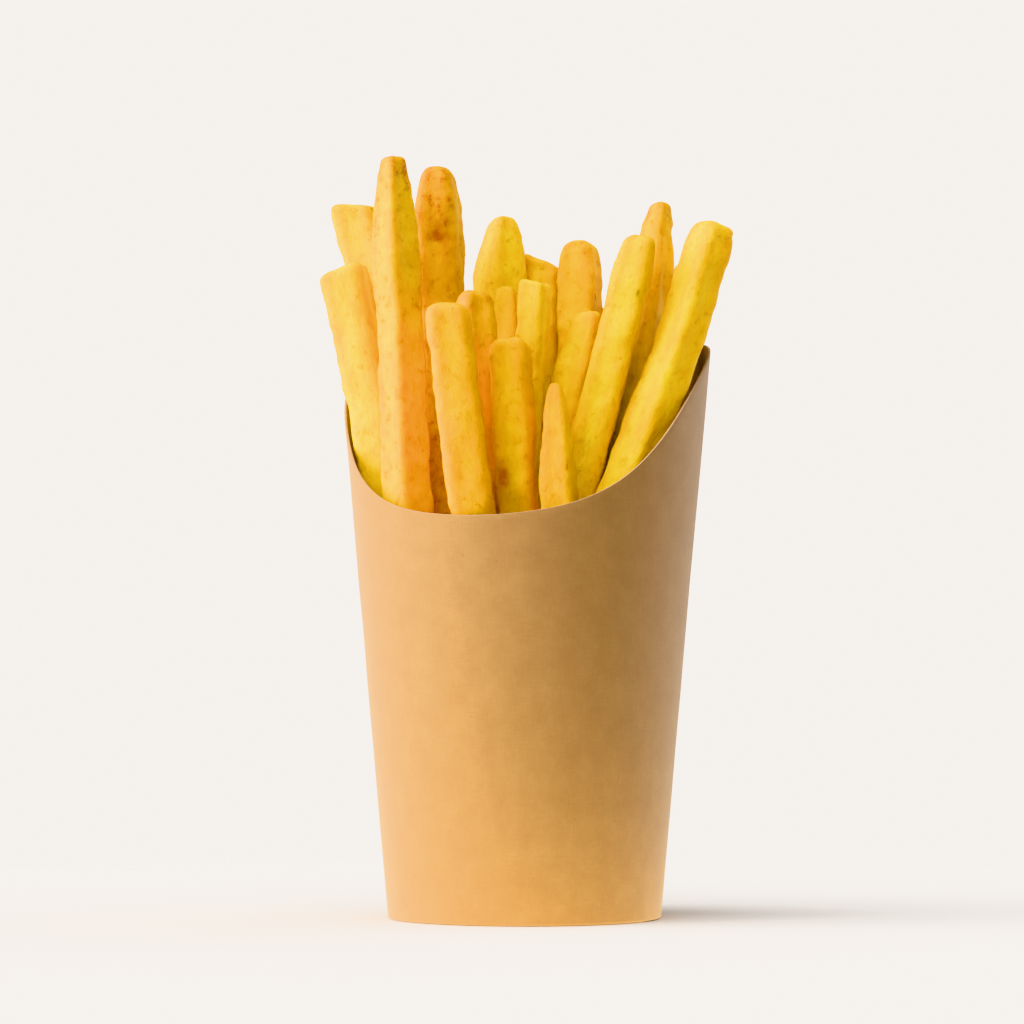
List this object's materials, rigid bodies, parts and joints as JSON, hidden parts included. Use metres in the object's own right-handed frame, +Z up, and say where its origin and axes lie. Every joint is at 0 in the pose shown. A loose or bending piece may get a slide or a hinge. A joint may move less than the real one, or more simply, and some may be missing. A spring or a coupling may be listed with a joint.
{
  "type": "french fries in a paper scoop cup",
  "caption": "Straight-cut golden fries heaped in a tapered round kraft paper scoop cup, its rim cut low in front and rising in an S-curve to a high back.",
  "frame": {"origin": "middle of the cup's round foot, on the surface it stands on", "axes": "+Z up along the cup's axis, -Y towards the low lip of the scoop, +Y towards the high back with the lap seam"},
  "size_m": [0.0945, 0.089, 0.1727],
  "materials": {
    "kraft_board": "uncoated brown kraft paperboard, matt, faint fibres",
    "fried_potato": "deep-fried potato, thin dry crust with a little oil sheen, browned at edges and ends"
  },
  "bodies": {
    "root": {"cup_wall": "kraft_board", "cup_base": "kraft_board", "fries": "fried_potato"}
  },
  "joints": []
}
